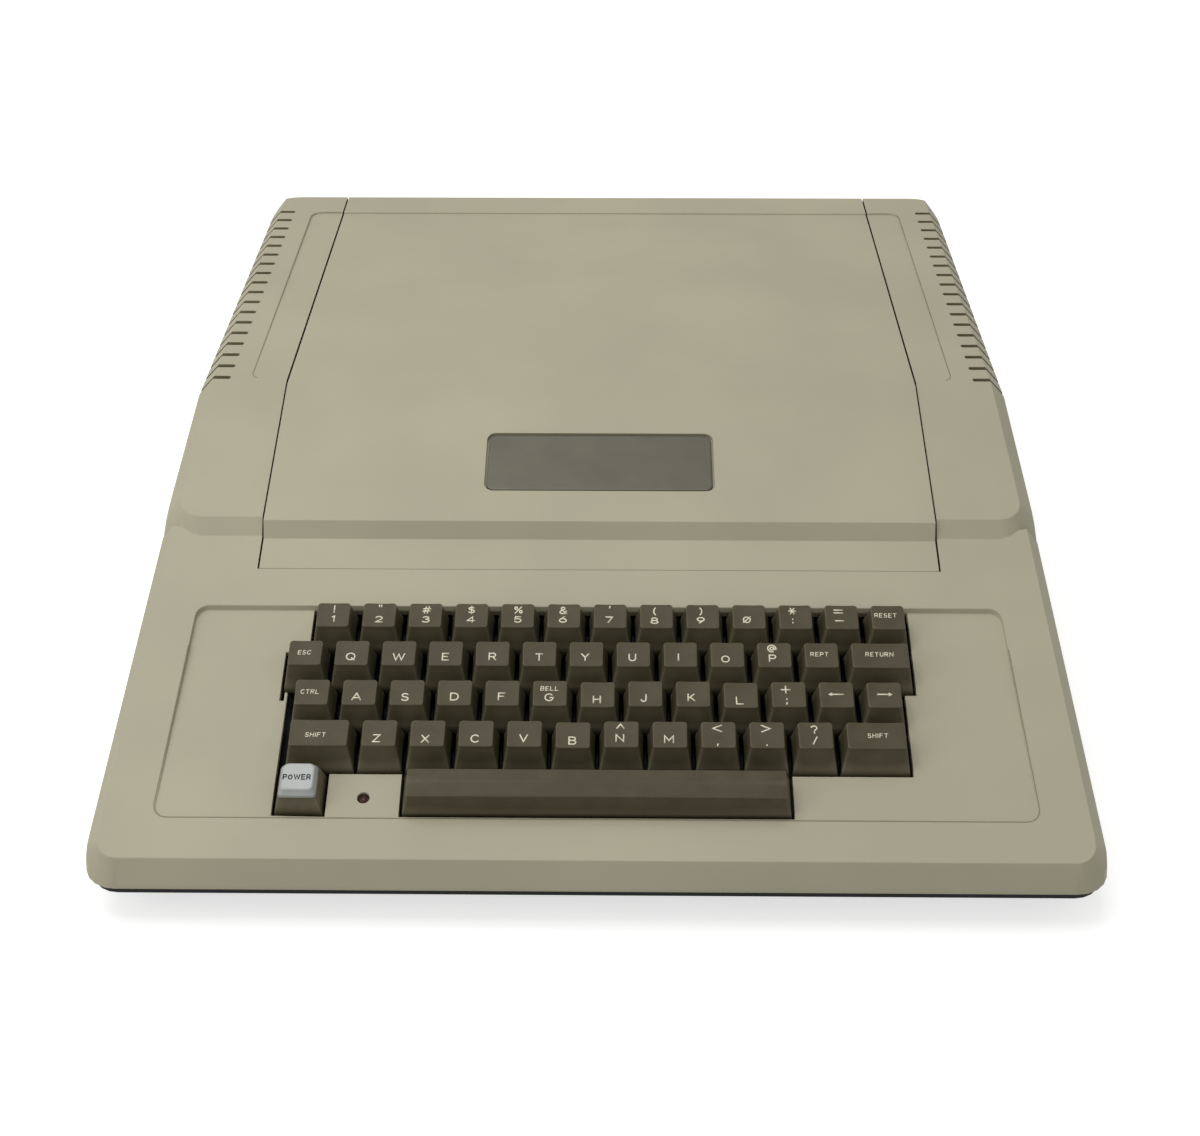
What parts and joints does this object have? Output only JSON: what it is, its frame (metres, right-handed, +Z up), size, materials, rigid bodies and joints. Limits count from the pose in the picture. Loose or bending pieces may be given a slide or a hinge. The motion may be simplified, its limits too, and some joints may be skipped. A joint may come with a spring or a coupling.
{
  "type": "home computer with built-in keyboard",
  "caption": "Wedge-shaped moulded home computer with a built-in keyboard, a lift-off lid over its card slots, side vents, a power supply with a rocker switch, and rubber feet.",
  "frame": {"origin": "on the table, under the middle of the case's outline from above", "axes": "+X to the right of the person typing, +Y from the keyboard to the rear panel, +Z up"},
  "size_m": [0.396, 0.457, 0.1125],
  "materials": {
    "case_plastic": "fine-textured, beige",
    "key_plastic": "satin, dark brown-grey",
    "lamp_plastic": "translucent white cap, unlit",
    "pan_plastic": "black, fine-textured",
    "switch_plastic": "black, smooth",
    "circuit_board": "green board with black parts",
    "supply_metal": "gold-coloured folded sheet"
  },
  "bodies": {
    "case": {"upper_case": "case_plastic", "base_pan": "pan_plastic", "main_board": "circuit_board", "power_supply": "supply_metal", "keyboard_chassis": "switch_plastic", "power_lamp": "lamp_plastic"},
    "lid": {"lid": "case_plastic"},
    "rocker": {"power_rocker": "switch_plastic"},
    "cap_1": {"key_1": "key_plastic"},
    "cap_2": {"key_2": "key_plastic"},
    "cap_3": {"key_3": "key_plastic"},
    "cap_4": {"key_4": "key_plastic"},
    "cap_5": {"key_5": "key_plastic"},
    "cap_6": {"key_6": "key_plastic"},
    "cap_7": {"key_7": "key_plastic"},
    "cap_8": {"key_8": "key_plastic"},
    "cap_9": {"key_9": "key_plastic"},
    "cap_0": {"key_0": "key_plastic"},
    "cap_colon": {"key_colon": "key_plastic"},
    "cap_minus": {"key_minus": "key_plastic"},
    "cap_reset": {"key_reset": "key_plastic"},
    "cap_esc": {"key_esc": "key_plastic"},
    "cap_q": {"key_q": "key_plastic"},
    "cap_w": {"key_w": "key_plastic"},
    "cap_e": {"key_e": "key_plastic"},
    "cap_r": {"key_r": "key_plastic"},
    "cap_t": {"key_t": "key_plastic"},
    "cap_y": {"key_y": "key_plastic"},
    "cap_u": {"key_u": "key_plastic"},
    "cap_i": {"key_i": "key_plastic"},
    "cap_o": {"key_o": "key_plastic"},
    "cap_p": {"key_p": "key_plastic"},
    "cap_rept": {"key_rept": "key_plastic"},
    "cap_return": {"key_return": "key_plastic"},
    "cap_ctrl": {"key_ctrl": "key_plastic"},
    "cap_a": {"key_a": "key_plastic"},
    "cap_s": {"key_s": "key_plastic"},
    "cap_d": {"key_d": "key_plastic"},
    "cap_f": {"key_f": "key_plastic"},
    "cap_g": {"key_g": "key_plastic"},
    "cap_h": {"key_h": "key_plastic"},
    "cap_j": {"key_j": "key_plastic"},
    "cap_k": {"key_k": "key_plastic"},
    "cap_l": {"key_l": "key_plastic"},
    "cap_semicolon": {"key_semicolon": "key_plastic"},
    "cap_left": {"key_left": "key_plastic"},
    "cap_right": {"key_right": "key_plastic"},
    "cap_shift_left": {"key_shift_left": "key_plastic"},
    "cap_z": {"key_z": "key_plastic"},
    "cap_x": {"key_x": "key_plastic"},
    "cap_c": {"key_c": "key_plastic"},
    "cap_v": {"key_v": "key_plastic"},
    "cap_b": {"key_b": "key_plastic"},
    "cap_n": {"key_n": "key_plastic"},
    "cap_m": {"key_m": "key_plastic"},
    "cap_comma": {"key_comma": "key_plastic"},
    "cap_period": {"key_period": "key_plastic"},
    "cap_slash": {"key_slash": "key_plastic"},
    "cap_shift_right": {"key_shift_right": "key_plastic"},
    "cap_space": {"key_space": "key_plastic"}
  },
  "joints": [
    {"name": "lid_lift", "type": "slide", "parent": "case", "child": "lid", "axis": [0, 0, 1], "range_m": [0, 0.1]},
    {"name": "rocker_turn", "type": "hinge", "parent": "case", "child": "rocker", "pos_m": [-0.1175, 0.2231, 0.044], "axis": [1, 0, 0], "range_deg": [0, 18]},
    {"name": "press_1", "type": "slide", "parent": "case", "child": "cap_1", "axis": [0, 0.3224, -0.9466], "range_m": [0, 0.0038], "stiffness_N_per_m": 120, "springref_m": -0.002},
    {"name": "press_2", "type": "slide", "parent": "case", "child": "cap_2", "axis": [0, 0.3224, -0.9466], "range_m": [0, 0.0038], "stiffness_N_per_m": 120, "springref_m": -0.002},
    {"name": "press_3", "type": "slide", "parent": "case", "child": "cap_3", "axis": [0, 0.3224, -0.9466], "range_m": [0, 0.0038], "stiffness_N_per_m": 120, "springref_m": -0.002},
    {"name": "press_4", "type": "slide", "parent": "case", "child": "cap_4", "axis": [0, 0.3224, -0.9466], "range_m": [0, 0.0038], "stiffness_N_per_m": 120, "springref_m": -0.002},
    {"name": "press_5", "type": "slide", "parent": "case", "child": "cap_5", "axis": [0, 0.3224, -0.9466], "range_m": [0, 0.0038], "stiffness_N_per_m": 120, "springref_m": -0.002},
    {"name": "press_6", "type": "slide", "parent": "case", "child": "cap_6", "axis": [0, 0.3224, -0.9466], "range_m": [0, 0.0038], "stiffness_N_per_m": 120, "springref_m": -0.002},
    {"name": "press_7", "type": "slide", "parent": "case", "child": "cap_7", "axis": [0, 0.3224, -0.9466], "range_m": [0, 0.0038], "stiffness_N_per_m": 120, "springref_m": -0.002},
    {"name": "press_8", "type": "slide", "parent": "case", "child": "cap_8", "axis": [0, 0.3224, -0.9466], "range_m": [0, 0.0038], "stiffness_N_per_m": 120, "springref_m": -0.002},
    {"name": "press_9", "type": "slide", "parent": "case", "child": "cap_9", "axis": [0, 0.3224, -0.9466], "range_m": [0, 0.0038], "stiffness_N_per_m": 120, "springref_m": -0.002},
    {"name": "press_0", "type": "slide", "parent": "case", "child": "cap_0", "axis": [0, 0.3224, -0.9466], "range_m": [0, 0.0038], "stiffness_N_per_m": 120, "springref_m": -0.002},
    {"name": "press_colon", "type": "slide", "parent": "case", "child": "cap_colon", "axis": [0, 0.3224, -0.9466], "range_m": [0, 0.0038], "stiffness_N_per_m": 120, "springref_m": -0.002},
    {"name": "press_minus", "type": "slide", "parent": "case", "child": "cap_minus", "axis": [0, 0.3224, -0.9466], "range_m": [0, 0.0038], "stiffness_N_per_m": 120, "springref_m": -0.002},
    {"name": "press_reset", "type": "slide", "parent": "case", "child": "cap_reset", "axis": [0, 0.3224, -0.9466], "range_m": [0, 0.0038], "stiffness_N_per_m": 120, "springref_m": -0.002},
    {"name": "press_esc", "type": "slide", "parent": "case", "child": "cap_esc", "axis": [0, 0.3224, -0.9466], "range_m": [0, 0.0038], "stiffness_N_per_m": 120, "springref_m": -0.002},
    {"name": "press_q", "type": "slide", "parent": "case", "child": "cap_q", "axis": [0, 0.3224, -0.9466], "range_m": [0, 0.0038], "stiffness_N_per_m": 120, "springref_m": -0.002},
    {"name": "press_w", "type": "slide", "parent": "case", "child": "cap_w", "axis": [0, 0.3224, -0.9466], "range_m": [0, 0.0038], "stiffness_N_per_m": 120, "springref_m": -0.002},
    {"name": "press_e", "type": "slide", "parent": "case", "child": "cap_e", "axis": [0, 0.3224, -0.9466], "range_m": [0, 0.0038], "stiffness_N_per_m": 120, "springref_m": -0.002},
    {"name": "press_r", "type": "slide", "parent": "case", "child": "cap_r", "axis": [0, 0.3224, -0.9466], "range_m": [0, 0.0038], "stiffness_N_per_m": 120, "springref_m": -0.002},
    {"name": "press_t", "type": "slide", "parent": "case", "child": "cap_t", "axis": [0, 0.3224, -0.9466], "range_m": [0, 0.0038], "stiffness_N_per_m": 120, "springref_m": -0.002},
    {"name": "press_y", "type": "slide", "parent": "case", "child": "cap_y", "axis": [0, 0.3224, -0.9466], "range_m": [0, 0.0038], "stiffness_N_per_m": 120, "springref_m": -0.002},
    {"name": "press_u", "type": "slide", "parent": "case", "child": "cap_u", "axis": [0, 0.3224, -0.9466], "range_m": [0, 0.0038], "stiffness_N_per_m": 120, "springref_m": -0.002},
    {"name": "press_i", "type": "slide", "parent": "case", "child": "cap_i", "axis": [0, 0.3224, -0.9466], "range_m": [0, 0.0038], "stiffness_N_per_m": 120, "springref_m": -0.002},
    {"name": "press_o", "type": "slide", "parent": "case", "child": "cap_o", "axis": [0, 0.3224, -0.9466], "range_m": [0, 0.0038], "stiffness_N_per_m": 120, "springref_m": -0.002},
    {"name": "press_p", "type": "slide", "parent": "case", "child": "cap_p", "axis": [0, 0.3224, -0.9466], "range_m": [0, 0.0038], "stiffness_N_per_m": 120, "springref_m": -0.002},
    {"name": "press_rept", "type": "slide", "parent": "case", "child": "cap_rept", "axis": [0, 0.3224, -0.9466], "range_m": [0, 0.0038], "stiffness_N_per_m": 120, "springref_m": -0.002},
    {"name": "press_return", "type": "slide", "parent": "case", "child": "cap_return", "axis": [0, 0.3224, -0.9466], "range_m": [0, 0.0038], "stiffness_N_per_m": 120, "springref_m": -0.002},
    {"name": "press_ctrl", "type": "slide", "parent": "case", "child": "cap_ctrl", "axis": [0, 0.3224, -0.9466], "range_m": [0, 0.0038], "stiffness_N_per_m": 120, "springref_m": -0.002},
    {"name": "press_a", "type": "slide", "parent": "case", "child": "cap_a", "axis": [0, 0.3224, -0.9466], "range_m": [0, 0.0038], "stiffness_N_per_m": 120, "springref_m": -0.002},
    {"name": "press_s", "type": "slide", "parent": "case", "child": "cap_s", "axis": [0, 0.3224, -0.9466], "range_m": [0, 0.0038], "stiffness_N_per_m": 120, "springref_m": -0.002},
    {"name": "press_d", "type": "slide", "parent": "case", "child": "cap_d", "axis": [0, 0.3224, -0.9466], "range_m": [0, 0.0038], "stiffness_N_per_m": 120, "springref_m": -0.002},
    {"name": "press_f", "type": "slide", "parent": "case", "child": "cap_f", "axis": [0, 0.3224, -0.9466], "range_m": [0, 0.0038], "stiffness_N_per_m": 120, "springref_m": -0.002},
    {"name": "press_g", "type": "slide", "parent": "case", "child": "cap_g", "axis": [0, 0.3224, -0.9466], "range_m": [0, 0.0038], "stiffness_N_per_m": 120, "springref_m": -0.002},
    {"name": "press_h", "type": "slide", "parent": "case", "child": "cap_h", "axis": [0, 0.3224, -0.9466], "range_m": [0, 0.0038], "stiffness_N_per_m": 120, "springref_m": -0.002},
    {"name": "press_j", "type": "slide", "parent": "case", "child": "cap_j", "axis": [0, 0.3224, -0.9466], "range_m": [0, 0.0038], "stiffness_N_per_m": 120, "springref_m": -0.002},
    {"name": "press_k", "type": "slide", "parent": "case", "child": "cap_k", "axis": [0, 0.3224, -0.9466], "range_m": [0, 0.0038], "stiffness_N_per_m": 120, "springref_m": -0.002},
    {"name": "press_l", "type": "slide", "parent": "case", "child": "cap_l", "axis": [0, 0.3224, -0.9466], "range_m": [0, 0.0038], "stiffness_N_per_m": 120, "springref_m": -0.002},
    {"name": "press_semicolon", "type": "slide", "parent": "case", "child": "cap_semicolon", "axis": [0, 0.3224, -0.9466], "range_m": [0, 0.0038], "stiffness_N_per_m": 120, "springref_m": -0.002},
    {"name": "press_left", "type": "slide", "parent": "case", "child": "cap_left", "axis": [0, 0.3224, -0.9466], "range_m": [0, 0.0038], "stiffness_N_per_m": 120, "springref_m": -0.002},
    {"name": "press_right", "type": "slide", "parent": "case", "child": "cap_right", "axis": [0, 0.3224, -0.9466], "range_m": [0, 0.0038], "stiffness_N_per_m": 120, "springref_m": -0.002},
    {"name": "press_shift_left", "type": "slide", "parent": "case", "child": "cap_shift_left", "axis": [0, 0.3224, -0.9466], "range_m": [0, 0.0038], "stiffness_N_per_m": 120, "springref_m": -0.002},
    {"name": "press_z", "type": "slide", "parent": "case", "child": "cap_z", "axis": [0, 0.3224, -0.9466], "range_m": [0, 0.0038], "stiffness_N_per_m": 120, "springref_m": -0.002},
    {"name": "press_x", "type": "slide", "parent": "case", "child": "cap_x", "axis": [0, 0.3224, -0.9466], "range_m": [0, 0.0038], "stiffness_N_per_m": 120, "springref_m": -0.002},
    {"name": "press_c", "type": "slide", "parent": "case", "child": "cap_c", "axis": [0, 0.3224, -0.9466], "range_m": [0, 0.0038], "stiffness_N_per_m": 120, "springref_m": -0.002},
    {"name": "press_v", "type": "slide", "parent": "case", "child": "cap_v", "axis": [0, 0.3224, -0.9466], "range_m": [0, 0.0038], "stiffness_N_per_m": 120, "springref_m": -0.002},
    {"name": "press_b", "type": "slide", "parent": "case", "child": "cap_b", "axis": [0, 0.3224, -0.9466], "range_m": [0, 0.0038], "stiffness_N_per_m": 120, "springref_m": -0.002},
    {"name": "press_n", "type": "slide", "parent": "case", "child": "cap_n", "axis": [0, 0.3224, -0.9466], "range_m": [0, 0.0038], "stiffness_N_per_m": 120, "springref_m": -0.002},
    {"name": "press_m", "type": "slide", "parent": "case", "child": "cap_m", "axis": [0, 0.3224, -0.9466], "range_m": [0, 0.0038], "stiffness_N_per_m": 120, "springref_m": -0.002},
    {"name": "press_comma", "type": "slide", "parent": "case", "child": "cap_comma", "axis": [0, 0.3224, -0.9466], "range_m": [0, 0.0038], "stiffness_N_per_m": 120, "springref_m": -0.002},
    {"name": "press_period", "type": "slide", "parent": "case", "child": "cap_period", "axis": [0, 0.3224, -0.9466], "range_m": [0, 0.0038], "stiffness_N_per_m": 120, "springref_m": -0.002},
    {"name": "press_slash", "type": "slide", "parent": "case", "child": "cap_slash", "axis": [0, 0.3224, -0.9466], "range_m": [0, 0.0038], "stiffness_N_per_m": 120, "springref_m": -0.002},
    {"name": "press_shift_right", "type": "slide", "parent": "case", "child": "cap_shift_right", "axis": [0, 0.3224, -0.9466], "range_m": [0, 0.0038], "stiffness_N_per_m": 120, "springref_m": -0.002},
    {"name": "press_space", "type": "slide", "parent": "case", "child": "cap_space", "axis": [0, 0.3224, -0.9466], "range_m": [0, 0.0038], "stiffness_N_per_m": 120, "springref_m": -0.002}
  ]
}
